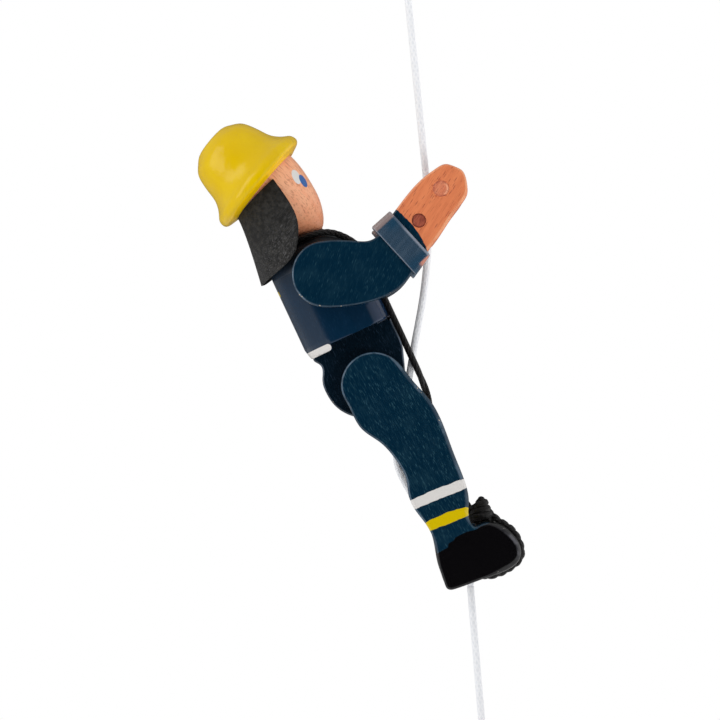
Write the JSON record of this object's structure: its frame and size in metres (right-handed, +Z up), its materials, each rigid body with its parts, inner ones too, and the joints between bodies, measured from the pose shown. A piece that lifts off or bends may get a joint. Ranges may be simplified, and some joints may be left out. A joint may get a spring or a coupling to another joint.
{
  "type": "climbing toy figure",
  "caption": "Wooden figure that inches up a taut cord: dowel hands grip it, shoulders and hips flex together, and an elastic draws the booted feet up.",
  "frame": {"origin": "inside top of the hanging loop, where a hook would carry it, in the figure's middle plane", "axes": "+X is where the figure faces, +Z is up, and the figure's right side is at -Y"},
  "size_m": [0.1303, 0.0502, 0.3461],
  "materials": {
    "navy_lacquer": "navy gloss lacquer on beech",
    "legs_lacquer": "navy lacquer with painted stripes and black gloss boots",
    "helmet_yellow": "yellow gloss lacquer on turned wood",
    "beech_head": "clear satin lacquer on turned beech, with painted eyes",
    "beech_dowel": "clear lacquered dowel",
    "stained_dowel": "dark red-brown stained dowel",
    "cuff_blue": "glossy steel-blue band",
    "flap_leather": "black napped leather",
    "boot_black": "black gloss lacquer",
    "elastic_black": "black braided round elastic",
    "cord_white": "white braided cord",
    "ball_red": "red gloss lacquer on a turned ball"
  },
  "bodies": {
    "cord": {"hanging_loop": "cord_white", "loop_knot": "cord_white", "cord_upper": "cord_white"},
    "arms": {"arm_right": "navy_lacquer", "arm_left": "navy_lacquer", "cuff_right": "cuff_blue", "cuff_left": "cuff_blue", "hand_dowel_upper": "beech_dowel", "hand_dowel_lower": "stained_dowel", "shoulder_axle": "beech_dowel", "cord_in_hands": "cord_white"},
    "torso": {"torso": "navy_lacquer", "head": "beech_head", "helmet": "helmet_yellow", "neck_flap": "flap_leather", "neck_dowel": "beech_dowel", "elastic_neck_loop": "elastic_black"},
    "legs": {"leg_right": "legs_lacquer", "leg_left": "legs_lacquer", "hip_axle": "beech_dowel", "knee_dowel": "beech_dowel", "ankle_dowel": "beech_dowel", "toe_block": "boot_black", "elastic_toe_loop": "elastic_black", "elastic_knot": "elastic_black", "cord_in_legs": "cord_white"},
    "elastic": {"elastic_strand_right": "elastic_black", "elastic_strand_left": "elastic_black"},
    "cord_run": {"cord_middle": "cord_white"},
    "cord_tail": {"cord_lower": "cord_white", "pull_ball": "ball_red", "end_knot": "cord_white"}
  },
  "joints": [
    {"name": "climb", "type": "slide", "parent": "cord", "child": "arms", "axis": [-0.1011, 0, 0.9949], "range_m": [0, 0.05], "deforming": ["cord_upper"]},
    {"name": "shoulder", "type": "hinge", "parent": "arms", "child": "torso", "pos_m": [-0.02984, 0, -0.14091], "axis": [0, 1, 0], "range_deg": [0, 39]},
    {"name": "hip", "type": "hinge", "parent": "torso", "child": "legs", "pos_m": [-0.01066, 0, -0.18433], "axis": [0, 1, 0], "range_deg": [-63.5, 0]},
    {"name": "elastic_swing", "type": "hinge", "parent": "torso", "child": "elastic", "pos_m": [-0.01357, 0, -0.13332], "axis": [0, 1, 0], "range_deg": [-36, 0], "deforming": ["elastic_strand_right", "elastic_strand_left"]},
    {"name": "cord_run_swing", "type": "hinge", "parent": "arms", "child": "cord_run", "pos_m": [0.01083, 0, -0.1328], "axis": [0, 1, 0], "range_deg": [0, 17.2], "deforming": ["cord_middle"]},
    {"name": "cord_tail_swing", "type": "hinge", "parent": "legs", "child": "cord_tail", "pos_m": [0.028, 0, -0.2651], "axis": [0, 1, 0], "range_deg": [0, 24.5]}
  ],
  "couplings": [
    {"joint": "hip", "follows": "shoulder", "ratio": -1.62},
    {"joint": "elastic_swing", "follows": "shoulder", "ratio": -0.9136},
    {"joint": "cord_run_swing", "follows": "shoulder", "ratio": 0.4348},
    {"joint": "cord_tail_swing", "follows": "shoulder", "ratio": 0.62}
  ]
}
